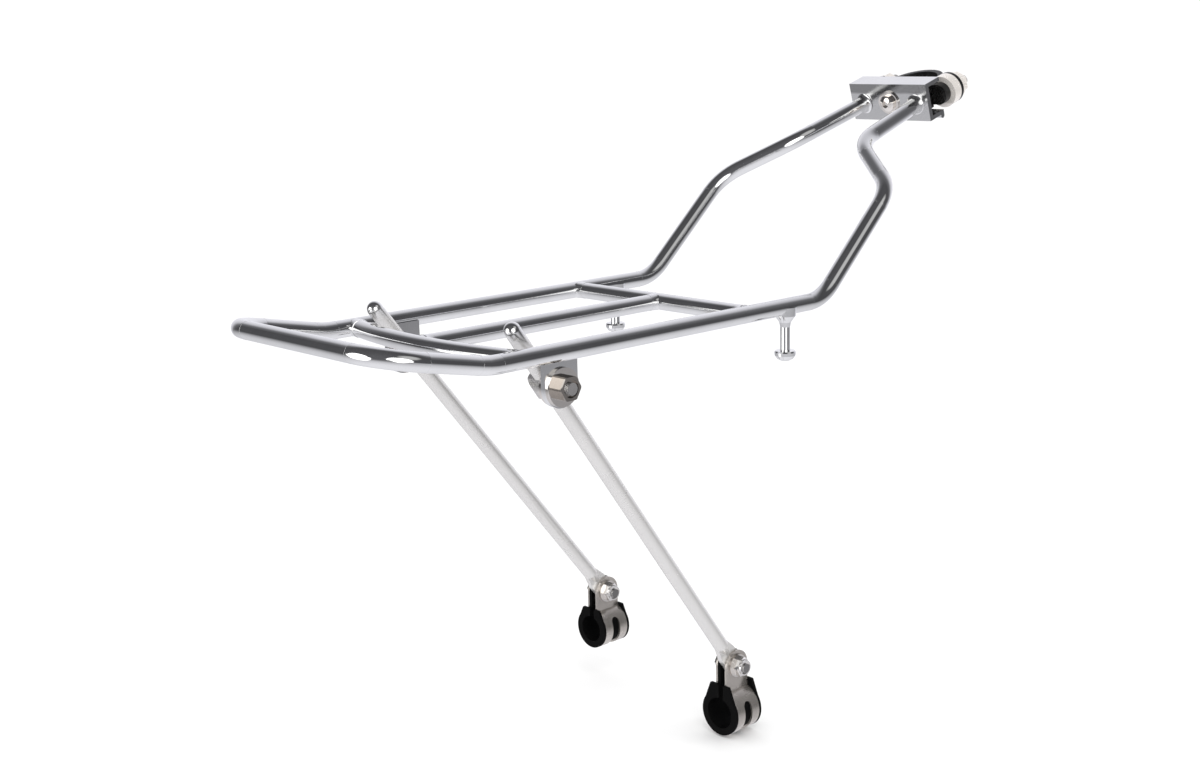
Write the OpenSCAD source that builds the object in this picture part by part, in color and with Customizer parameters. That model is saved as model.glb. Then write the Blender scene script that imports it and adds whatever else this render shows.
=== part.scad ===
// Rear rack for a bicycle: a bent tube platform held by a seatpost clamp at the
// front and by two adjustable struts with lined clamps for the seat stays.
// Millimetres. Origin at the middle of the seatpost bore, +X forward, +Y to the
// rider's left, +Z up. The platform is level; the seatpost leans back.

/* [Platform] */
// Outside diameter of the frame tubing
tube_d = 9; // [8:0.5:11]
// Wall thickness of the frame tubing
tube_wall = 1; // [0.8:0.1:2]
// Distance between the centre lines of the two side rails
rail_gap = 128; // [110:1:150]
// Level distance from the seatpost bore back to the front crossbar
front_reach = 226; // [200:1:260]
// Height of the seatpost bore above the platform
clamp_rise = 103.3; // [80:0.1:130]
// Length of the side rails between the two crossbars
platform_len = 150; // [130:1:200]
// How far the rear crossbar bows backwards at its middle
rear_bow = 8; // [2:1:15]

/* [Tail loop] */
// Angle by which the tail loop is kicked up
tail_kick = 11.5; // [0:0.5:20]
// Length of the kicked part
tail_len = 57; // [50:1:90]
// Centre line radius of the two tail corners
tail_r = 22; // [18:1:40]

/* [Front arms] */
// Centre line radius of the bends in the arms
arm_bend_r = 28; // [20:1:32]
// Distance between the centre lines of the arms at the bracket
arm_gap = 38.5; // [34:0.5:44]

/* [Bracket and seatpost clamp] */
// Angle by which the seatpost leans back from vertical
seat_lean = 17; // [10:0.5:20]
// Diameter of the seatpost
post_d = 27.2; // [25.4:0.1:28]
// Width of the channel bracket
channel_w = 56; // [54:1:60]
// Height of the channel bracket
channel_h = 22.6; // [22:0.1:25]
// Depth of the channel flanges
channel_depth = 14; // [12:0.5:14]
// Distance of each clamp bolt from the middle
bolt_y = 25; // [24:0.5:27]

/* [Struts] */
// Strut diameter
strut_d = 8; // [6:0.5:8]
// Distance of each strut centre line from the middle plane
strut_y = 52; // [50:0.5:52]
// Slope of the left strut below level
strut_slope_left = 51.1; // [48.5:0.1:80]
// Slope of the right strut below level
strut_slope_right = 54.4; // [48.5:0.1:80]
// Left strut length from the eye down to the stay clamp bolt
strut_reach_left = 203.5; // [150:0.5:260]
// Right strut length from the eye down to the stay clamp bolt
strut_reach_right = 214; // [150:0.5:260]
// Strut length standing out above the eye
strut_above = 38.5; // [25:0.5:45]

/* [Stay clamps] */
// Diameter of the seat stay held by the left lined clamp
stay_d_left = 15; // [14:0.5:19]
// Diameter of the seat stay held by the right lined clamp
stay_d_right = 17; // [14:0.5:19]
// Thickness of the liner
liner_t = 2.6; // [1.5:0.1:4]
// Distance from the left clamp bolt to the middle of its loop
loop_drop_left = 21.5; // [21.5:0.5:32]
// Distance from the right clamp bolt to the middle of its loop
loop_drop_right = 25.5; // [23:0.5:32]

/* [Hidden] */
$fn = 48;

chrome = [0.80, 0.81, 0.83];
nickel = [0.74, 0.70, 0.64];
dark = [0.12, 0.12, 0.13];
rubber = [0.05, 0.05, 0.05];

gap = 0.05;
ring_gap = 0.2;
tube_r = tube_d / 2;
// Each bar is a hair thinner than the one its shaped end meets
bar_r = tube_r - 0.1;
mid_r = tube_r - 0.2;
half_w = rail_gap / 2;

// Bracket and clamp stations along the forward axis of the clamp
back_u = -28;
plate_t = 3;
flange_t = 2.5;
flange_u = back_u + channel_depth;
jaw_h = 18;
jaw_mid_w = 35;
jaw_rear_u = -13.9;
jaw_face_u = -9;
boss_r = 8.5;
head_t = 3;
spacer_t = 6.5;
front_u = -2.5;
front_lug_t = 2.5;
end_r = 6.3;
front_h = 10;
post_r = post_d / 2;
m6_r = 3;
m6_hex_r = 10 / 2 / cos(30);
pivot_end_u = -14.2;
washer_t = 1.5;
clamp_nut_t = 7;
clamp_end_u = 13.4;

// Platform stations
rear_x = -platform_len;
bow_r = (half_w * half_w + rear_bow * rear_bow) / (2 * rear_bow);
bow_mid_x = rear_x - rear_bow;
kick_x = rear_x - 18;
tail_x = kick_x - tail_len * cos(tail_kick);
tail_z = tail_len * sin(tail_kick);
peg_x = 29;
kick_r = 60;

// Strut fittings, measured from the front crossbar
eye_x = -124.2;
eye_z = -17;
tab_t = 3;
tab_w = 20;
strut_r = strut_d / 2;
eye_r = 7.5;
eye_end = strut_r + 0.55;
cup_in = eye_end + gap;
tab_y = half_w - 3.7;
tab_in = tab_y - tab_t / 2;
tab_out = tab_y + tab_t / 2;
eye_washer_t = 1.6;
eye_nut_t = 5;
blade_t = 3;
blade_r = 5.5;

// Stay clamp
m5_r = 2.5;
m5_hex_r = 9 / 2 / cos(30);
band_t = 1.2;
band_w = 16.5;
liner_w = 19.8;
tongue_t = 2;
ear_r = band_w / 2;
ear_in = blade_t / 2 + gap;
ear_far = ear_in + tongue_t;
ear_mid = (ear_far - ear_in) / 2;
slot_w = 5.5;

// Arm path from the seatpost bracket down to the rail, for the left side
function unit(v) = v / norm(v);
arm_end = [
    back_u * cos(seat_lean) + front_reach,
    arm_gap / 2,
    back_u * sin(seat_lean) + clamp_rise - 1.2
];
arm_path = [
    arm_end + 12 * unit(arm_end - [141, 23.6, 75.4]),
    [141, 23.6, 75.4],
    [117.3, 62.6, 53.6],
    [58.3, half_w, 0],
    [kick_x, half_w, 0],
    [tail_x, half_w, tail_z]
];
function flip(p) = [p[0], -p[1], p[2]];
hoop_path = concat(
    arm_path,
    [for (i = [len(arm_path) - 1 : -1 : 0]) flip(arm_path[i])]
);
arm_r = [arm_bend_r, arm_bend_r, arm_bend_r, kick_r, tail_r];
hoop_r = concat(arm_r, [for (i = [len(arm_r) - 1 : -1 : 0]) arm_r[i]]);

// ---------------------------------------------------------------- frames

module on_clamp() {
    rotate([0, -seat_lean, 0]) children();
}

module on_platform() {
    translate([-front_reach, 0, -clamp_rise]) children();
}

module at_eye(side) {
    translate([eye_x - front_reach, side * strut_y, eye_z - clamp_rise])
        children();
}

function slope(side) = side > 0 ? strut_slope_left : strut_slope_right;
function reach(side) = side > 0 ? strut_reach_left : strut_reach_right;

// Radius of the hardware at each end of the clamp: the right end is the larger
function big_r(side) = side > 0 ? 6.6 : 9.5;

// Stay clamp sizes on each side
function liner_r(side) = (side > 0 ? stay_d_left : stay_d_right) / 2;
function band_in_r(side) = liner_r(side) + liner_t;
function band_out_r(side) = band_in_r(side) + band_t;
function loop_drop(side) = side > 0 ? loop_drop_left : loop_drop_right;

module on_strut(side) {
    at_eye(side) rotate([0, slope(side), 0]) children();
}

module at_stay(side) {
    on_strut(side) translate([reach(side), 0, 0])
        rotate([0, -slope(side), 0]) children();
}

// Cylinders along the local axes, from one station to another
module rod_x(a, b, r) {
    translate([a, 0, 0]) rotate([0, 90, 0]) cylinder(h = b - a, r = r);
}

module rod_y(a, b, r) {
    translate([0, a, 0]) rotate([-90, 0, 0]) cylinder(h = b - a, r = r);
}

// ---------------------------------------------------------------- tubing

function bend_angle(a, b, c) = acos(unit(b - a) * unit(c - b));
function setback(a, b, c, r) = r * tan(bend_angle(a, b, c) / 2);
function turn_dir(u1, u2) = unit(u2 - (u2 * u1) * u1);

module length_of_bar(a, b, r) {
    translate([0, 0, a]) cylinder(h = b - a, r = r);
}

// Hairline ring where a bend meets a straight length
module ring(r) {
    cylinder(h = 3 * ring_gap, r = r + 0.03, center = true);
}

// Round bar along a path of corner points, each corner rounded to its radius.
// Each length starts in the frame where the last one ended: Z runs along the
// bar and x is the direction of that frame's X axis.
module run_on(path, radii, r, i, x, used) {
    last = len(path) - 1;
    u1 = unit(path[i + 1] - path[i]);
    if (i == last - 1) {
        length_of_bar(ring_gap, norm(path[i + 1] - path[i]) - used, r);
    } else {
        u2 = unit(path[i + 2] - path[i + 1]);
        turn = bend_angle(path[i], path[i + 1], path[i + 2]);
        back = setback(path[i], path[i + 1], path[i + 2], radii[i]);
        length = norm(path[i + 1] - path[i]) - used - back;
        n = turn_dir(u1, u2);
        roll = atan2(cross(x, n) * u1, x * n);
        length_of_bar(used == 0 ? 0 : ring_gap, length - ring_gap, r);
        translate([0, 0, length]) rotate([0, 0, roll]) {
            ring(r);
            translate([radii[i], 0, 0])
                rotate([90, 0, 0])
                    rotate([0, 0, 180 - turn])
                        rotate_extrude(angle = turn)
                            translate([radii[i], 0]) circle(r = r);
            translate([radii[i], 0, 0]) rotate([0, turn, 0])
                translate([-radii[i], 0, 0]) {
                    ring(r);
                    run_on(
                        path, radii, r, i + 1,
                        cos(turn) * n - sin(turn) * u1, back
                    );
                }
        }
    }
}

module run(path, radii, r) {
    u = unit(path[1] - path[0]);
    tilt = acos(u[2]);
    head = atan2(u[1], u[0]);
    x = [cos(tilt) * cos(head), cos(tilt) * sin(head), -sin(tilt)];
    translate(path[0]) rotate([0, tilt, head])
        run_on(path, radii, r, 0, x, 0);
}

module rails_solid() {
    for (s = [-1, 1])
        translate([0, s * half_w, 0]) rod_x(rear_x - 10, 40, tube_r + 0.02);
}

module rear_arc(r) {
    a = 2 * asin(half_w / bow_r);
    translate([bow_mid_x + bow_r, 0, 0])
        rotate([0, 0, 180 - a / 2])
            rotate_extrude(angle = a)
                translate([bow_r, 0]) circle(r = r);
}

module main_hoop() {
    color(chrome) difference() {
        on_platform() run(hoop_path, hoop_r, tube_r);
        on_platform() run(hoop_path, hoop_r, tube_r - tube_wall);
        on_clamp() translate([back_u, -50, -50]) cube([80, 100, 100]);
    }
}

module front_crossbar() {
    color(chrome) on_platform() difference() {
        rod_y(-half_w, half_w, bar_r);
        rod_y(-half_w, half_w, bar_r - tube_wall);
        rails_solid();
    }
}

module rear_crossbar() {
    color(chrome) on_platform() difference() {
        rear_arc(bar_r);
        rear_arc(bar_r - tube_wall);
        rails_solid();
    }
}

module centre_rail() {
    color(chrome) on_platform() difference() {
        rod_x(bow_mid_x, 0, mid_r);
        rod_x(bow_mid_x, 0, mid_r - tube_wall);
        rod_y(-20, 20, bar_r);
        rear_arc(bar_r);
    }
}

// Plate welded under a side rail, with the hole for the eye bolt
module tab(side) {
    color(chrome) on_platform() difference() {
        translate([eye_x, side * tab_y, 0]) union() {
            translate([-tab_w / 2, -tab_t / 2, eye_z])
                cube([tab_w, tab_t, -eye_z - 1]);
            translate([0, 0, eye_z]) rod_y(-tab_t / 2, tab_t / 2, tab_w / 2);
        }
        translate([eye_x, side * tab_y, eye_z])
            rod_y(-tab_t, tab_t, m6_r + gap);
        rails_solid();
    }
}

module tab_left() tab(1);
module tab_right() tab(-1);

// Lashing peg: flared foot, round shank and mushroom head
module peg(side) {
    color(chrome) on_platform() difference() {
        translate([peg_x, side * half_w, 0])
            rotate_extrude()
                polygon([
                    [0, 0], [6, 0], [5.6, -4.6], [4.2, -6.4], [3.1, -8],
                    [2.6, -10.5], [2.6, -23], [5.2, -23], [5.7, -23.8],
                    [5.5, -25.4], [4.3, -27.2], [2.4, -28.2], [0, -28.5]
                ]);
        rails_solid();
    }
}

module peg_left() peg(1);
module peg_right() peg(-1);

// ------------------------------------------------- bracket, seatpost clamp

module bracket_channel() {
    hw = channel_w / 2;
    hh = channel_h / 2;
    color(chrome) on_clamp() difference() {
        union() {
            translate([back_u, -hw, -hh]) cube([channel_depth, channel_w, channel_h]);
            translate([flange_u - 1.7, 0, -hh - 0.6]) rod_y(-hw, hw, 1.7);
        }
        translate([back_u + plate_t, -hw - 1, -hh + flange_t])
            cube([channel_depth, channel_w + 2, channel_h - 2 * flange_t]);
        rod_x(back_u - 1, back_u + plate_t + 1, m6_r + gap);
    }
}

// Round headed bolt on which the clamp swivels
module pivot_bolt() {
    color(nickel) on_clamp() difference() {
        union() {
            rod_x(back_u - 1.2, pivot_end_u, m6_r);
            intersection() {
                rod_x(back_u - 4.8, back_u - 1.2, 4.9);
                translate([back_u + 2.6, 0, 0]) sphere(r = 7.4);
            }
        }
        translate([back_u - 6, 0, 0]) rotate([0, 90, 0])
            cylinder(h = 3, r = 2.3, $fn = 6);
    }
}

module pivot_washer() {
    color(nickel) on_clamp() difference() {
        rod_x(back_u - 1.2, back_u, 7);
        rod_x(back_u - 2, back_u + 1, m6_r + gap);
    }
}

module pivot_nut() {
    color(nickel) on_clamp() difference() {
        translate([-19, 0, 0]) rotate([0, 90, 0])
            cylinder(h = 5, r = m6_hex_r, $fn = 6);
        rod_x(-20, -13, m6_r + gap);
    }
}

// Rear jaw: oblong plate with a round boss that turns inside the channel
module rear_jaw() {
    t = jaw_face_u - jaw_rear_u;
    color(dark) on_clamp() difference() {
        union() {
            translate([jaw_rear_u, -jaw_mid_w / 2, -jaw_h / 2])
                cube([t, jaw_mid_w, jaw_h]);
            translate([jaw_rear_u, -bolt_y, -end_r + 0.2])
                cube([t, 2 * bolt_y, 2 * end_r - 0.4]);
            for (s = [-1, 1])
                translate([0, s * bolt_y, 0]) rod_x(jaw_rear_u, jaw_face_u, end_r);
            rod_x(back_u + plate_t, jaw_rear_u + 1, boss_r);
            for (e = [-1, 1], i = [-2 : 2])
                translate([0, i * 8, e * (jaw_h / 2 - 0.6)])
                    rod_x(jaw_rear_u, jaw_face_u, 1.6);
        }
        cylinder(h = 40, r = post_r, center = true);
        rod_x(-30, 0, m6_r + gap);
        translate([-19, 0, 0]) rotate([0, 90, 0])
            cylinder(h = 12, r = m6_hex_r + gap, $fn = 6);
        for (s = [-1, 1]) translate([0, s * bolt_y, 0]) {
            rod_x(-20, 0, m6_r + gap);
            translate([jaw_rear_u - 1, 0, 0]) rotate([0, 90, 0])
                cylinder(h = head_t + 1, r = m6_hex_r + gap, $fn = 6);
        }
    }
}

module clamp_bolts() {
    color(nickel) on_clamp() for (s = [-1, 1]) translate([0, s * bolt_y, 0]) {
        rod_x(jaw_rear_u + head_t - 0.1, clamp_end_u, m6_r);
        translate([jaw_rear_u, 0, 0]) rotate([0, 90, 0])
            cylinder(h = head_t, r = m6_hex_r, $fn = 6);
    }
}

module clamp_spacers() {
    color(nickel) on_clamp() for (s = [-1, 1]) translate([0, s * bolt_y, 0])
        difference() {
            rod_x(jaw_face_u, jaw_face_u + spacer_t, big_r(s));
            rod_x(-15, 10, m6_r + gap);
        }
}

// Front jaw: two lugs joined by an arch around the seatpost
module front_jaw() {
    color(dark) on_clamp() difference() {
        union() {
            translate([front_u, -bolt_y, -front_h / 2])
                cube([front_lug_t, 2 * bolt_y, front_h]);
            for (s = [-1, 1])
                translate([0, s * bolt_y, 0])
                    rod_x(front_u, front_u + front_lug_t, big_r(s) - 0.1);
            intersection() {
                cylinder(h = front_h, r = post_r + 3.2, center = true);
                translate([front_u, -30, -20]) cube([40, 60, 40]);
            }
        }
        cylinder(h = 40, r = post_r, center = true);
        for (s = [-1, 1])
            translate([0, s * bolt_y, 0]) rod_x(-5, 20, m6_r + gap);
    }
}

module clamp_washers() {
    u = front_u + front_lug_t;
    color(nickel) on_clamp() for (s = [-1, 1]) translate([0, s * bolt_y, 0])
        difference() {
            rod_x(u, u + washer_t, s > 0 ? 6.4 : 7.6);
            rod_x(-5, 20, m6_r + gap);
        }
}

// Deep nut with a round flange
module clamp_nut(side) {
    u = front_u + front_lug_t + washer_t;
    color(nickel) on_clamp() translate([0, side * bolt_y, 0]) difference() {
        union() {
            rod_x(u, u + 3, big_r(side) - 1.6);
            translate([u, 0, 0]) rotate([0, 90, 0])
                cylinder(h = clamp_nut_t, r = m6_hex_r + (side > 0 ? 0 : 1.2), $fn = 6);
        }
        rod_x(-5, 30, m6_r + gap);
    }
}

module clamp_nut_left() clamp_nut(1);
module clamp_nut_right() clamp_nut(-1);

// ---------------------------------------------------------------- struts

// Eye bolt: barrel with a cross hole for the strut and a shank out to the tab
module eye_bolt(side) {
    shank_end = tab_out + eye_washer_t + eye_nut_t + 0.9 - strut_y;
    color(nickel) on_strut(side) mirror([0, side > 0 ? 0 : 1, 0]) difference() {
        union() {
            intersection() {
                rod_y(-strut_r - 3, eye_end, eye_r);
                rod_x(-6.5, 6.5, strut_r + 3.2);
            }
            rod_y(strut_r + 0.5, shank_end, m6_r);
        }
        rod_x(-20, 20, strut_r + gap);
    }
}

module eye_cup(side) {
    color(nickel) at_eye(side) mirror([0, side > 0 ? 0 : 1, 0]) difference() {
        rod_y(cup_in, tab_in - strut_y, 9.5);
        rod_y(0, 20, m6_r + gap);
    }
}

module eye_washer(side) {
    a = tab_out - strut_y;
    color(nickel) at_eye(side) mirror([0, side > 0 ? 0 : 1, 0]) difference() {
        rod_y(a, a + eye_washer_t, 9.3);
        rod_y(0, 30, m6_r + gap);
    }
}

// Nut with a chamfer and a recess around the end of the bolt
module eye_nut(side) {
    a = tab_out - strut_y + eye_washer_t;
    color(nickel) at_eye(side) mirror([0, side > 0 ? 0 : 1, 0]) difference() {
        intersection() {
            translate([0, a, 0]) rotate([-90, 0, 0])
                cylinder(h = eye_nut_t, r = m6_hex_r + 0.6, $fn = 6);
            rod_y(a, a + eye_nut_t, 6.1);
        }
        rod_y(a + eye_nut_t - 1.6, 30, m6_r + 1.3);
        rod_y(0, 30, m6_r + gap);
    }
}

module eye_bolt_left() eye_bolt(1);
module eye_bolt_right() eye_bolt(-1);
module eye_cup_left() eye_cup(1);
module eye_cup_right() eye_cup(-1);
module eye_washer_left() eye_washer(1);
module eye_washer_right() eye_washer(-1);
module eye_nut_left() eye_nut(1);
module eye_nut_right() eye_nut(-1);

// Round strut with a domed top and a flattened lower end
module strut(side) {
    neck = reach(side) - 16;
    color(chrome) on_strut(side) difference() {
        union() {
            rod_x(-strut_above + strut_r, neck, strut_r);
            translate([-strut_above + strut_r, 0, 0]) sphere(r = strut_r);
            translate([neck, 0, 0]) rotate([0, 90, 0])
                cylinder(h = 7.5, r1 = strut_r, r2 = blade_t / 2);
            translate([reach(side), blade_t / 2, 0]) rotate([90, 0, 0])
                linear_extrude(height = blade_t)
                    polygon([
                        [-17, -3.6], [-9, -blade_r], [0, -blade_r],
                        [0, blade_r], [-9, blade_r], [-17, 3.6]
                    ]);
            translate([reach(side), 0, 0])
                rod_y(-blade_t / 2, blade_t / 2, blade_r);
        }
        translate([reach(side), 0, 0]) rod_y(-5, 5, m5_r + gap);
    }
}

module strut_left() strut(1);
module strut_right() strut(-1);

// ------------------------------------------------------------ stay clamps

// Strap bent to a loop, with one ear on each side of the strut end. A slot
// runs from the outer flank down around the bottom.
module stay_band(side) {
    color(nickel) at_stay(side) difference() {
        union() {
            translate([0, ear_mid, -loop_drop(side)])
                rod_x(-band_w / 2, band_w / 2, band_out_r(side));
            for (y = [-ear_in - band_t, ear_far]) {
                rod_y(y, y + band_t, ear_r);
                translate([-band_w / 2, y, -loop_drop(side) + band_in_r(side) - 0.6])
                    cube([band_w, band_t, loop_drop(side) - band_in_r(side) + 0.6]);
            }
        }
        translate([0, ear_mid, -loop_drop(side)]) rod_x(-20, 20, band_in_r(side));
        translate([-20, -ear_in, -loop_drop(side)]) cube([40, ear_in + ear_far, 20]);
        rod_y(-10, 10, m5_r + gap);
        translate([-slot_w / 2, -30, -loop_drop(side) - 20])
            cube([slot_w, 30 + ear_mid + 3, 24]);
        translate([0, 0, -loop_drop(side) + 4]) rod_y(-30, 0, slot_w / 2);
    }
}

// Liner: ring with raised rims outside the band and a tongue along the far ear
module stay_liner(side) {
    color(rubber) at_stay(side) difference() {
        union() {
            translate([0, ear_mid, -loop_drop(side)]) {
                rod_x(-liner_w / 2, liner_w / 2, band_in_r(side));
                liner_rim(side, -liner_w / 2, -band_w / 2);
                liner_rim(side, band_w / 2, liner_w / 2);
            }
            translate([-band_w / 2, ear_in, -loop_drop(side)])
                cube([band_w, tongue_t, loop_drop(side)]);
            rod_y(ear_in, ear_far, ear_r);
        }
        translate([0, ear_mid, -loop_drop(side)]) rod_x(-20, 20, liner_r(side));
        translate([-20, -ear_in, -loop_drop(side)]) cube([40, 2 * ear_in, 30]);
        rod_y(0, 10, m5_r + gap);
    }
}

module liner_rim(side, a, b) {
    r = band_out_r(side);
    top = loop_drop(side) - 9.5;
    rod_x(a, b, r);
    translate([a, 0, 0]) rotate([90, 0, 90]) linear_extrude(height = b - a)
        polygon([
            [1 - r, 0], [r - 1, 0], [r - 1.4, 5], [6.5, top],
            [-6.5, top], [1.4 - r, 5]
        ]);
}

module stay_bolt(side) {
    head = ear_far + band_t;
    color(nickel) at_stay(side) {
        rod_y(-ear_in - band_t - 7, head, m5_r);
        translate([0, head, 0]) rotate([-90, 0, 0]) cylinder(h = 4, r = m5_hex_r, $fn = 6);
    }
}

module stay_washer(side) {
    a = -ear_in - band_t;
    color(nickel) at_stay(side) difference() {
        rod_y(a - 1, a, 6.2);
        rod_y(-20, 20, m5_r + gap);
    }
}

// Self locking nut: hexagon with a plain round collar
module stay_nut(side) {
    a = -ear_in - band_t - 1;
    color(nickel) at_stay(side) difference() {
        union() {
            translate([0, a, 0]) rotate([90, 0, 0])
                cylinder(h = 3.8, r = m5_hex_r, $fn = 6);
            rod_y(a - 5.2, a, 4.1);
        }
        rod_y(a - 6, a - 4, m5_r + 0.9);
        rod_y(-20, 20, m5_r + gap);
    }
}

module stay_band_left() stay_band(1);
module stay_band_right() stay_band(-1);
module stay_liner_left() stay_liner(1);
module stay_liner_right() stay_liner(-1);
module stay_bolt_left() stay_bolt(1);
module stay_bolt_right() stay_bolt(-1);
module stay_washer_left() stay_washer(1);
module stay_washer_right() stay_washer(-1);
module stay_nut_left() stay_nut(1);
module stay_nut_right() stay_nut(-1);

main_hoop();
centre_rail();
front_crossbar();
rear_crossbar();
tab_left();
tab_right();
peg_left();
peg_right();
bracket_channel();
pivot_bolt();
pivot_washer();
pivot_nut();
rear_jaw();
clamp_bolts();
clamp_spacers();
front_jaw();
clamp_washers();
clamp_nut_left();
clamp_nut_right();
eye_bolt_left();
eye_cup_left();
eye_washer_left();
eye_nut_left();
eye_bolt_right();
eye_cup_right();
eye_washer_right();
eye_nut_right();
strut_left();
strut_right();
stay_band_left();
stay_liner_left();
stay_bolt_left();
stay_washer_left();
stay_nut_left();
stay_band_right();
stay_liner_right();
stay_bolt_right();
stay_washer_right();
stay_nut_right();
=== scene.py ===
"""Rear rack: looks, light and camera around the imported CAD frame."""

import math

import bmesh
import bpy
from mathutils import Matrix, Vector


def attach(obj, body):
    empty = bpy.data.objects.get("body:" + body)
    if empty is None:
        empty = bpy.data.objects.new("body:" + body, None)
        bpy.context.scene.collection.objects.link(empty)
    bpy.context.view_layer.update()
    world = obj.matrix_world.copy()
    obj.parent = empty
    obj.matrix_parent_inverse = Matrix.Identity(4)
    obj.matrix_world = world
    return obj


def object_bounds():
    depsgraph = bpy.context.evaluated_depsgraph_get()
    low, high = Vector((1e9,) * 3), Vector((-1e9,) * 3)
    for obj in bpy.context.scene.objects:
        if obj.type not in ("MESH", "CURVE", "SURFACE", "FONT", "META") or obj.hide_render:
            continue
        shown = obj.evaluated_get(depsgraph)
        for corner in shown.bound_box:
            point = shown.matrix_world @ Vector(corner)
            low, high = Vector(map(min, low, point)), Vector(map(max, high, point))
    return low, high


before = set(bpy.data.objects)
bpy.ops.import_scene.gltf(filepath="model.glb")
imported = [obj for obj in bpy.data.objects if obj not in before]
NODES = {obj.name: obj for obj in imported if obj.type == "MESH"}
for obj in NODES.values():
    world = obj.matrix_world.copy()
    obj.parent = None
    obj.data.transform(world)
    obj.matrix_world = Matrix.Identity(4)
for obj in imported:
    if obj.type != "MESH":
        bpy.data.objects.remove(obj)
CAD_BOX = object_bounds()

MM = 0.001
# The same values as in part.scad: where the platform's own axes start
FRONT_REACH = 226 * MM
CLAMP_RISE = 103.3 * MM
PLATFORM = Vector((-FRONT_REACH, 0, -CLAMP_RISE))
SEAT_LEAN = math.radians(17)
CLAMP_AXIS = (math.cos(SEAT_LEAN), 0, math.sin(SEAT_LEAN))


# ------------------------------------------------------------ shader helpers

class Graph:
    """A small wrapper that adds and links shader nodes."""

    def __init__(self, tree):
        self.tree = tree

    def add(self, kind, inputs=None, **props):
        node = self.tree.nodes.new(kind)
        for key, value in props.items():
            setattr(node, key, value)
        for key, value in (inputs or {}).items():
            if isinstance(value, bpy.types.NodeSocket):
                self.tree.links.new(value, node.inputs[key])
            else:
                node.inputs[key].default_value = value
        return node

    def math(self, op, a, b=0.0, clamp=False):
        node = self.add("ShaderNodeMath", {0: a, 1: b}, operation=op)
        node.use_clamp = clamp
        return node.outputs[0]

    def noise(self, vector, scale, detail=3.0, rough=0.5):
        return self.add(
            "ShaderNodeTexNoise",
            {"Vector": vector, "Scale": scale, "Detail": detail, "Roughness": rough},
        ).outputs["Fac"]

    def spread(self, value, low, high, out_low, out_high):
        return self.add(
            "ShaderNodeMapRange",
            {"Value": value, "From Min": low, "From Max": high,
             "To Min": out_low, "To Max": out_high},
        ).outputs["Result"]

    def ramp(self, value, stops, tint=0.0):
        """Grey levels at stations from -1 to 1, with a little blue if tinted."""
        place = self.spread(value, -1, 1, 0, 1)
        node = self.add("ShaderNodeValToRGB", {0: place})
        elements = node.color_ramp.elements
        while len(elements) < len(stops):
            elements.new(0.5)
        for element, (at, level) in zip(elements, stops):
            element.position = (at + 1) / 2
            element.color = (level, level, level * (1 + tint), 1)
        return node.outputs[0]

    def mix(self, fac, a, b, blend="MIX"):
        node = self.add("ShaderNodeMix", data_type="RGBA", blend_type=blend)
        for index, value in ((0, fac), (6, a), (7, b)):
            if isinstance(value, bpy.types.NodeSocket):
                self.tree.links.new(value, node.inputs[index])
            else:
                node.inputs[index].default_value = value
        return node.outputs[2]


def new_material(name):
    mat = bpy.data.materials.new(name)
    mat.use_nodes = True
    tree = mat.node_tree
    tree.nodes.clear()
    g = Graph(tree)
    out = g.add("ShaderNodeOutputMaterial")
    bsdf = g.add("ShaderNodeBsdfPrincipled")
    tree.links.new(bsdf.outputs[0], out.inputs[0])
    coord = g.add("ShaderNodeTexCoord").outputs["Object"]
    return mat, g, bsdf, coord


def grey(v, warm=0.0):
    return (v * (1 + warm), v, v * (1 - warm), 1)


def plated_metal(
    name, light, dark, rough, scratch, warm=0.0, thread=None, metal=1.0, pitting=0.25,
    brushed=0.8, polished_above=None,
):
    """Plated steel: slight cloudiness, fine scratches, darker specks and soft wear.
    Above a given height the plating can turn into a mirror polish."""
    mat, g, bsdf, coord = new_material(name)
    cloud = g.noise(coord, 38, 4, 0.55)
    speck = g.noise(coord, 900, 2, 0.6)
    stretch = g.add("ShaderNodeMapping", {"Vector": coord, "Scale": (60, 900, 900)})
    streak = g.noise(stretch.outputs[0], 2.2, 3, 0.6)
    tone = g.spread(cloud, 0.3, 0.7, 0.0, 1.0)
    colour = g.mix(tone, grey(dark, warm), grey(light, warm))
    pits = g.spread(speck, 0.72, 0.80, 0.0, pitting)
    colour = g.mix(pits, colour, grey(dark * 0.55, warm))
    base = g.spread(cloud, 0.3, 0.75, rough * 0.7, rough * 1.5)
    fine = g.spread(streak, 0.35, 0.75, 0.0, rough * brushed)
    bump = g.add(
        "ShaderNodeBump",
        {"Strength": scratch, "Distance": 0.00002,
         "Height": g.math("ADD", streak, g.math("MULTIPLY", speck, 0.5))},
    )
    normal = bump.outputs[0]
    if thread is not None:
        normal, colour = add_thread(g, coord, colour, normal, **thread)
    finish = g.math("ADD", base, fine)
    bsdf.inputs["Metallic"].default_value = metal
    if polished_above is not None:
        height = g.add("ShaderNodeSeparateXYZ", {0: coord}).outputs[2]
        worn = g.math("ADD", height, g.spread(cloud, 0.3, 0.7, -0.0015, 0.0015))
        top = g.spread(worn, polished_above, polished_above + 0.007, 0.0, 1.0)
        colour = g.mix(top, colour, grey(0.86))
        finish = g.math("MULTIPLY", finish, g.spread(top, 0.0, 1.0, 1.0, 0.2))
        g.tree.links.new(g.spread(top, 0.0, 1.0, metal, 1.0), bsdf.inputs["Metallic"])
    g.tree.links.new(colour, bsdf.inputs["Base Color"])
    g.tree.links.new(finish, bsdf.inputs["Roughness"])
    g.tree.links.new(normal, bsdf.inputs["Normal"])
    return mat


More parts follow.
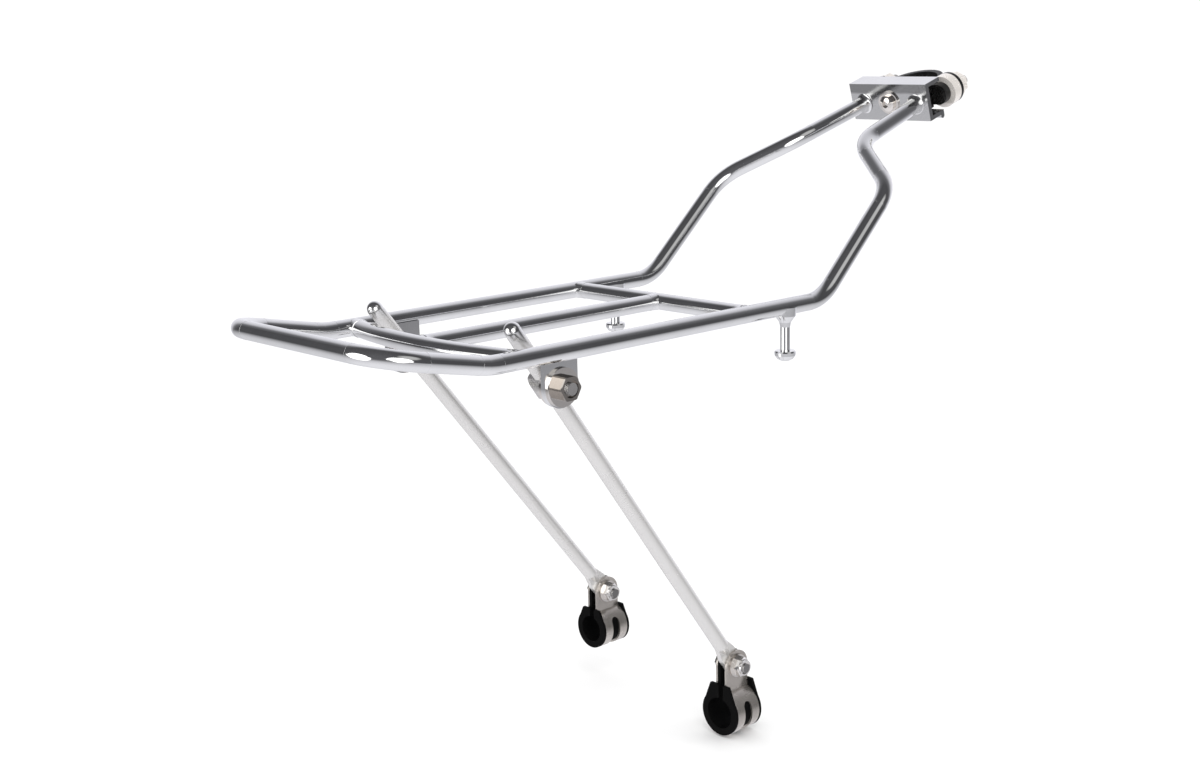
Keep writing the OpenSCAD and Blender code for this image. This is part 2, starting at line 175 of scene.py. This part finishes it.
def add_thread(g, coord, colour, normal, axis, spans, pitch):
    """Screw thread between stations along an axis, as a ridge pattern in the normal, with
    painted shade in the thread valleys.
    """
    along = g.add("ShaderNodeVectorMath", {0: coord, 1: tuple(axis)}, operation="DOT_PRODUCT")
    s = along.outputs["Value"]
    wave = g.math("SINE", g.math("MULTIPLY", s, 2 * math.pi / pitch))
    mask = None
    for low, high in spans:
        inside = g.math(
            "MULTIPLY",
            g.math("GREATER_THAN", s, low),
            g.math("LESS_THAN", s, high),
        )
        mask = inside if mask is None else g.math("ADD", mask, inside, clamp=True)
    bump = g.add(
        "ShaderNodeBump",
        {"Strength": 1.0, "Distance": pitch * 0.35,
         "Height": g.math("MULTIPLY", wave, mask), "Normal": normal},
    )
    # Painted shade: the thread valleys are darkened in the colour
    painted_valley_shade = g.math("MULTIPLY", g.spread(wave, -1.0, 0.1, 0.75, 0.0), mask)
    return bump.outputs[0], g.mix(painted_valley_shade, colour, grey(0.12))


def bracket_plating(name):
    """Plating on folded plate: polished flanges, and painted shade on the outer face, darkest
    in a sharp band across its upper part.
    """
    mat, g, bsdf, coord = new_material(name)
    cloud = g.noise(coord, 45, 4, 0.55)
    grain = g.noise(coord, 700, 2, 0.6)
    facing = g.add(
        "ShaderNodeVectorMath",
        {0: g.add("ShaderNodeNewGeometry").outputs["Normal"],
         1: tuple(-x for x in CLAMP_AXIS)},
        operation="DOT_PRODUCT",
    ).outputs["Value"]
    # Painted shade: the outer face, turned against the clamp axis, is made darker than the
    # flanges
    face = g.spread(facing, 0.55, 0.95, 0.0, 1.0)
    height = g.add(
        "ShaderNodeVectorMath",
        {0: coord, 1: (-math.sin(SEAT_LEAN), 0, math.cos(SEAT_LEAN))},
        operation="DOT_PRODUCT",
    ).outputs["Value"]
    # Painted shade band, darker still, across the upper part of the outer face
    soft = g.math("ADD", height, g.spread(cloud, 0.3, 0.7, -0.0006, 0.0006))
    shade_band_mask = g.spread(soft, 0.0046, 0.0062, 0.0, 1.0)
    painted_shade_face = g.mix(shade_band_mask, grey(0.62), grey(0.30))
    bright = g.mix(g.spread(cloud, 0.3, 0.7, 0, 1), grey(0.78), grey(0.86))
    bump = g.add("ShaderNodeBump", {"Strength": 0.1, "Distance": 0.00003, "Height": grain})
    g.tree.links.new(g.mix(face, bright, painted_shade_face), bsdf.inputs["Base Color"])
    g.tree.links.new(g.spread(cloud, 0.3, 0.7, 0.08, 0.2), bsdf.inputs["Roughness"])
    g.tree.links.new(bump.outputs[0], bsdf.inputs["Normal"])
    bsdf.inputs["Metallic"].default_value = 1.0
    return mat


def coated_black(name):
    """Black coated forging: fine orange peel, faint dust and rubbed bright edges."""
    mat, g, bsdf, coord = new_material(name)
    cloud = g.noise(coord, 60, 4, 0.6)
    peel = g.noise(coord, 1400, 2, 0.5)
    edge = g.add("ShaderNodeBevel", {"Radius": 0.0006}, samples=4)
    geometry = g.add("ShaderNodeNewGeometry")
    dot = g.add(
        "ShaderNodeVectorMath",
        {0: edge.outputs[0], 1: geometry.outputs["Normal"]},
        operation="DOT_PRODUCT",
    )
    rub = g.math(
        "MULTIPLY",
        g.spread(dot.outputs["Value"], 0.80, 0.97, 1.0, 0.0),
        g.spread(cloud, 0.42, 0.60, 0.0, 0.7),
    )
    colour = g.mix(g.spread(cloud, 0.3, 0.7, 0, 1), grey(0.006), grey(0.016))
    colour = g.mix(rub, colour, grey(0.18))
    bump = g.add(
        "ShaderNodeBump", {"Strength": 0.35, "Distance": 0.00008, "Height": peel}
    )
    g.tree.links.new(colour, bsdf.inputs["Base Color"])
    g.tree.links.new(g.spread(cloud, 0.3, 0.7, 0.28, 0.46), bsdf.inputs["Roughness"])
    g.tree.links.new(rub, bsdf.inputs["Metallic"])
    g.tree.links.new(bump.outputs[0], bsdf.inputs["Normal"])
    bsdf.inputs["Specular IOR Level"].default_value = 0.3
    return mat


def moulded_rubber(name):
    """Black rubber: matt, faintly grained, with a little dust."""
    mat, g, bsdf, coord = new_material(name)
    cloud = g.noise(coord, 90, 4, 0.6)
    grain = g.noise(coord, 2600, 2, 0.6)
    dust = g.spread(g.noise(coord, 420, 4, 0.7), 0.58, 0.75, 0.0, 0.22)
    colour = g.mix(g.spread(cloud, 0.3, 0.7, 0, 1), grey(0.002), grey(0.005))
    colour = g.mix(dust, colour, grey(0.014))
    bump = g.add(
        "ShaderNodeBump", {"Strength": 0.5, "Distance": 0.00006, "Height": grain}
    )
    g.tree.links.new(colour, bsdf.inputs["Base Color"])
    g.tree.links.new(g.spread(cloud, 0.3, 0.7, 0.52, 0.72), bsdf.inputs["Roughness"])
    g.tree.links.new(bump.outputs[0], bsdf.inputs["Normal"])
    bsdf.inputs["Specular IOR Level"].default_value = 0.04
    return mat


MATERIALS = {
    "chrome": plated_metal("frame_chrome", 0.86, 0.78, 0.05, 0.08),
    "strut": plated_metal(
        "strut_plated", 0.74, 0.70, 0.22, 0.02, 0.018, metal=0.6, pitting=0.0,
        brushed=0.1, polished_above=-CLAMP_RISE + 0.004,
    ),
    "bracket": bracket_plating("bracket_plated"),
    "bright": plated_metal(
        "bright_plated", 0.90, 0.80, 0.20, 0.06, 0.055, metal=0.35, pitting=0.08,
    ),
    "small_nut": plated_metal("small_nut_plated", 0.94, 0.76, 0.06, 0.10, 0.02, metal=0.9),
    "nickel": plated_metal("bright_nickel", 0.84, 0.66, 0.05, 0.10, 0.05),
    "nut": plated_metal("nut_nickel", 0.42, 0.26, 0.08, 0.12, 0.08),
    "band": plated_metal(
        "band_steel", 0.60, 0.40, 0.22, 0.06, 0.07, metal=0.8, pitting=0.1,
        brushed=0.3,
    ),
    "clamp_thread": plated_metal(
        "clamp_bolt_thread", 0.62, 0.48, 0.18, 0.2, 0.02,
        {"axis": CLAMP_AXIS, "spans": [(-0.003, 0.03)], "pitch": 1.0 * MM},
    ),
    "side_thread": plated_metal(
        "side_bolt_thread", 0.70, 0.56, 0.16, 0.2, 0.03,
        {"axis": (0, 1, 0), "spans": [(-0.08, -0.0604), (0.038, 0.0445), (0.0668, 0.08)],
         "pitch": 0.8 * MM},
    ),
    "black": coated_black("jaw_black"),
    "rubber": moulded_rubber("liner_rubber"),
}

LOOKS = [
    ("main_hoop", "chrome"), ("centre_rail", "chrome"), ("front_crossbar", "chrome"),
    ("rear_crossbar", "chrome"), ("tab_", "chrome"), ("peg_", "chrome"),
    ("bracket_channel", "bracket"), ("pivot_bolt", "nickel"), ("pivot_washer", "nickel"),
    ("pivot_nut", "nut"), ("rear_jaw", "black"), ("front_jaw", "black"),
    ("clamp_bolts", "clamp_thread"), ("clamp_spacers", "bright"),
    ("clamp_washers", "bright"), ("clamp_nut", "bright"), ("eye_bolt", "side_thread"),
    ("eye_cup", "nickel"), ("eye_washer", "nickel"), ("eye_nut", "nut"),
    ("strut_", "strut"), ("stay_band", "band"), ("stay_liner", "rubber"),
    ("stay_bolt", "side_thread"), ("stay_washer", "nickel"), ("stay_nut", "small_nut"),
]


def look_of(name):
    for start, look in LOOKS:
        if name.startswith(start):
            return MATERIALS[look]
    raise KeyError(name)


def set_material(obj, mat):
    obj.data.materials.clear()
    obj.data.materials.append(mat)


def smooth(obj, degrees=32):
    mesh = obj.data
    mesh.polygons.foreach_set("use_smooth", [True] * len(mesh.polygons))
    mesh.set_sharp_from_angle(angle=math.radians(degrees))


BEVELS = {
    "bracket_channel": 0.7, "tab_": 0.5, "rear_jaw": 0.5, "front_jaw": 0.9,
    "clamp_washers": 0.3, "clamp_nut": 0.4, "clamp_spacers": 0.8,
    "pivot_washer": 0.3, "pivot_nut": 0.3, "eye_bolt": 0.5, "eye_cup": 0.4,
    "eye_washer": 0.35, "eye_nut": 0.35, "stay_band": 0.3, "stay_liner": 0.5,
    "stay_bolt": 0.3, "stay_washer": 0.25, "stay_nut": 0.35,
}

for name, obj in NODES.items():
    set_material(obj, look_of(name))
    smooth(obj)
    for start, width in BEVELS.items():
        if name.startswith(start):
            mod = obj.modifiers.new("edge", "BEVEL")
            mod.width = width * MM
            mod.segments = 2
            mod.limit_method = "ANGLE"
            mod.angle_limit = math.radians(32)
            mod.harden_normals = False


# ------------------------------------------------------------ brazed fillets

WELD = plated_metal("brazed_fillet", 0.88, 0.76, 0.12, 0.45)


def fillet(name, place, along, side, bar, foot, length):
    """Concave flare round a bar where it meets another part. place is the middle of
    the wide end, side the direction in which the foot is foot[0] wide; bar is the
    half width at the narrow end; across side the foot is foot[1] wide."""
    along = Vector(along).normalized()
    side = (Vector(side) - along * along.dot(Vector(side))).normalized()
    third = along.cross(side)
    place = PLATFORM + Vector(place) * MM
    steps, around = 12, 48
    bm = bmesh.new()
    rings = []
    for i in range(steps + 1):
        t = i / steps
        swell = (1 - math.sqrt(1 - (1 - t) ** 2))
        wide = bar + (foot[0] - bar) * swell
        high = bar + (foot[1] - bar) * swell
        middle = place + along * (length * t * MM)
        rings.append([
            bm.verts.new(
                middle + side * (wide * MM * math.cos(a)) + third * (high * MM * math.sin(a))
            )
            for a in (2 * math.pi * k / around for k in range(around))
        ])
    for low, high in zip(rings, rings[1:]):
        for k in range(around):
            m = (k + 1) % around
            bm.faces.new((low[k], low[m], high[m], high[k]))
    bm.faces.new(rings[0][::-1])
    bm.faces.new(rings[-1])
    bmesh.ops.recalc_face_normals(bm, faces=bm.faces)
    mesh = bpy.data.meshes.new(name)
    bm.to_mesh(mesh)
    bm.free()
    obj = bpy.data.objects.new(name, mesh)
    bpy.context.scene.collection.objects.link(obj)
    set_material(obj, WELD)
    smooth(obj, 40)
    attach(obj, "frame")
    return obj


HALF_W, LENGTH, BOW = 64, 150, 8
BOW_R = (HALF_W ** 2 + BOW ** 2) / (2 * BOW)
BOW_END = math.asin(HALF_W / BOW_R)
SUNK = 2.6          # how far inside the other tube a fillet starts
BAR_NECK, CENTRE_NECK, ARM_NECK = 4.46, 4.36, 4.53
BAR_FOOT, CENTRE_FOOT, ARM_FOOT = (6.8, 4.5), (6.6, 4.4), (6.0, 6.3)
TUBE_FLARE, ARM_FLARE = 5, 4
ARM_END = Vector((
    FRONT_REACH / MM - 28 * math.cos(SEAT_LEAN),
    19.25,
    CLAMP_RISE / MM - 28 * math.sin(SEAT_LEAN) - 1.2,
))
ARM_BEND = Vector((141, 23.6, 75.4))

for word, s in (("left", 1), ("right", -1)):
    fillet(
        "fillet_front_" + word, (0, s * (HALF_W - SUNK), 0), (0, -s, 0), (1, 0, 0),
        BAR_NECK, BAR_FOOT, TUBE_FLARE,
    )
    fillet(
        "fillet_rear_" + word, (-LENGTH - 0.8, s * (HALF_W - SUNK), 0),
        (-math.sin(BOW_END), -s * math.cos(BOW_END), 0), (1, 0, 0),
        BAR_NECK, BAR_FOOT, TUBE_FLARE,
    )
    end = Vector((ARM_END.x, s * ARM_END.y, ARM_END.z))
    bend = Vector((ARM_BEND.x, s * ARM_BEND.y, ARM_BEND.z))
    fillet(
        "fillet_arm_" + word, end + (end - bend).normalized() * 0.4, bend - end,
        (0, 1, 0), ARM_NECK, ARM_FOOT, ARM_FLARE,
    )
fillet(
    "fillet_centre_front", (-SUNK, 0, 0), (-1, 0, 0), (0, 1, 0),
    CENTRE_NECK, CENTRE_FOOT, TUBE_FLARE,
)
fillet(
    "fillet_centre_rear", (-LENGTH - BOW + SUNK, 0, 0), (1, 0, 0), (0, 1, 0),
    CENTRE_NECK, CENTRE_FOOT, TUBE_FLARE,
)


# ------------------------------------------------------------ light and stage

# Direction, cosine of the angular radius, and level of each lamp seen in the chrome
LAMPS = [
    ((-0.95, 0.30, -0.02), 0.89, 2.0), ((-0.40, -0.90, 0.17), 0.90, 2.0),
]


def world_light():
    """White room for the eye. Reflections see a white backdrop beyond the rack, a
    dim room behind the camera and a pale table below."""
    world = bpy.data.worlds.new("studio")
    bpy.context.scene.world = world
    world.use_nodes = True
    tree = world.node_tree
    tree.nodes.clear()
    g = Graph(tree)
    out = g.add("ShaderNodeOutputWorld")
    direction = g.add("ShaderNodeTexCoord").outputs["Generated"]
    up = g.add("ShaderNodeSeparateXYZ", {0: direction}).outputs[2]

    def toward(x, y, z):
        aim = tuple(Vector((x, y, z)).normalized())
        return g.add(
            "ShaderNodeVectorMath", {0: direction, 1: aim}, operation="DOT_PRODUCT"
        ).outputs["Value"]

    backdrop = g.ramp(toward(0.82, 0.55, 0.10), [
        (-1.00, 0.12), (-0.40, 0.09), (0.25, 0.075), (0.44, 0.16), (0.54, 0.36),
        (0.64, 0.60), (0.77, 0.75), (0.90, 0.88), (1.00, 0.95),
    ], tint=0.07)
    table = g.ramp(up, [
        (-1.00, 0.92), (-0.80, 0.88), (-0.60, 0.75), (-0.45, 0.66), (-0.33, 0.52),
        (-0.19, 0.30), (-0.09, 0.10), (0.00, 0.05),
    ], tint=0.05)
    room = g.mix(1.0, table, backdrop, "LIGHTEN")
    softbox = g.ramp(toward(0.08, -0.76, 0.64), [(0.92, 0.0), (0.975, 0.55)])
    room = g.mix(1.0, room, softbox, "LIGHTEN")
    for lamp, edge, level in LAMPS:
        glow = g.ramp(toward(*lamp), [(edge, 0.0), (edge + 0.008, level)])
        room = g.mix(1.0, room, glow, "LIGHTEN")
    studio = g.add("ShaderNodeBackground", {"Color": room, "Strength": 1.0})
    plain = g.add("ShaderNodeBackground", {"Color": (1, 1, 1, 1), "Strength": 1.12})
    glossy = g.add("ShaderNodeLightPath").outputs["Is Glossy Ray"]
    both = g.add("ShaderNodeMixShader", {0: glossy})
    tree.links.new(plain.outputs[0], both.inputs[1])
    tree.links.new(studio.outputs[0], both.inputs[2])
    tree.links.new(both.outputs[0], out.inputs[0])


def area_light(name, place, aim, size, power):
    data = bpy.data.lights.new(name, "AREA")
    data.shape = "RECTANGLE"
    data.size, data.size_y = size
    data.energy = power
    obj = bpy.data.objects.new(name, data)
    bpy.context.scene.collection.objects.link(obj)
    obj.location = place
    obj.rotation_euler = (Vector(aim) - Vector(place)).to_track_quat("-Z", "Y").to_euler()
    obj.visible_glossy = False
    return obj


def pale_floor(z):
    bpy.ops.mesh.primitive_plane_add(size=30, location=(0, 0, z))
    floor = bpy.context.object
    floor.name = "floor"
    mat, g, bsdf, coord = new_material("pale_floor")
    tone = g.spread(g.noise(coord, 3, 3), 0.3, 0.7, 0.93, 0.95)
    g.tree.links.new(
        g.add("ShaderNodeCombineColor", {0: tone, 1: tone, 2: tone}).outputs[0],
        bsdf.inputs["Base Color"],
    )
    bsdf.inputs["Roughness"].default_value = 0.9
    bsdf.inputs["Specular IOR Level"].default_value = 0.1
    unseen = g.add("ShaderNodeBsdfTransparent")
    choose = g.add(
        "ShaderNodeMixShader", {0: g.add("ShaderNodeLightPath").outputs["Is Glossy Ray"]}
    )
    g.tree.links.new(bsdf.outputs[0], choose.inputs[1])
    g.tree.links.new(unseen.outputs[0], choose.inputs[2])
    surface = next(n for n in g.tree.nodes if n.type == "OUTPUT_MATERIAL")
    g.tree.links.new(choose.outputs[0], surface.inputs[0])
    set_material(floor, mat)


world_light()
LOW, HIGH = CAD_BOX[0], CAD_BOX[1]
MIDDLE = (Vector(LOW) + Vector(HIGH)) / 2
pale_floor(LOW[2] - 0.001)
area_light("key", (-0.9, -1.1, 1.3), MIDDLE, (0.6, 0.4), 5)
area_light("fill", (0.9, -1.2, 0.5), MIDDLE, (0.3, 0.7), 2.5)


# ------------------------------------------------------------ camera

VIEW_YAW, VIEW_PITCH, VIEW_ROLL = (math.radians(a) for a in (47.31, 12.16, -1.43))
CAMERA_PLACE = Vector((-604.7, -608.6, 143.1))
LENS = 48.86


def aim_camera():
    """Camera at the rear right of the rack, a little above the platform."""
    level = math.cos(VIEW_PITCH)
    ahead = Vector((
        math.cos(VIEW_YAW) * level, math.sin(VIEW_YAW) * level, -math.sin(VIEW_PITCH)
    ))
    right = Vector((math.sin(VIEW_YAW), -math.cos(VIEW_YAW), 0))
    up = right.cross(ahead)
    right, up = (
        math.cos(VIEW_ROLL) * right + math.sin(VIEW_ROLL) * up,
        math.cos(VIEW_ROLL) * up - math.sin(VIEW_ROLL) * right,
    )
    place = PLATFORM + CAMERA_PLACE * MM
    data = bpy.data.cameras.new("camera")
    data.sensor_width = 36
    data.lens = LENS
    data.clip_start = 0.01
    camera = bpy.data.objects.new("camera", data)
    bpy.context.scene.collection.objects.link(camera)
    turn = Matrix((right, up, -ahead)).transposed().to_4x4()
    camera.matrix_world = Matrix.Translation(place) @ turn
    bpy.context.scene.camera = camera


aim_camera()
bpy.context.scene.view_settings.view_transform = "Standard"
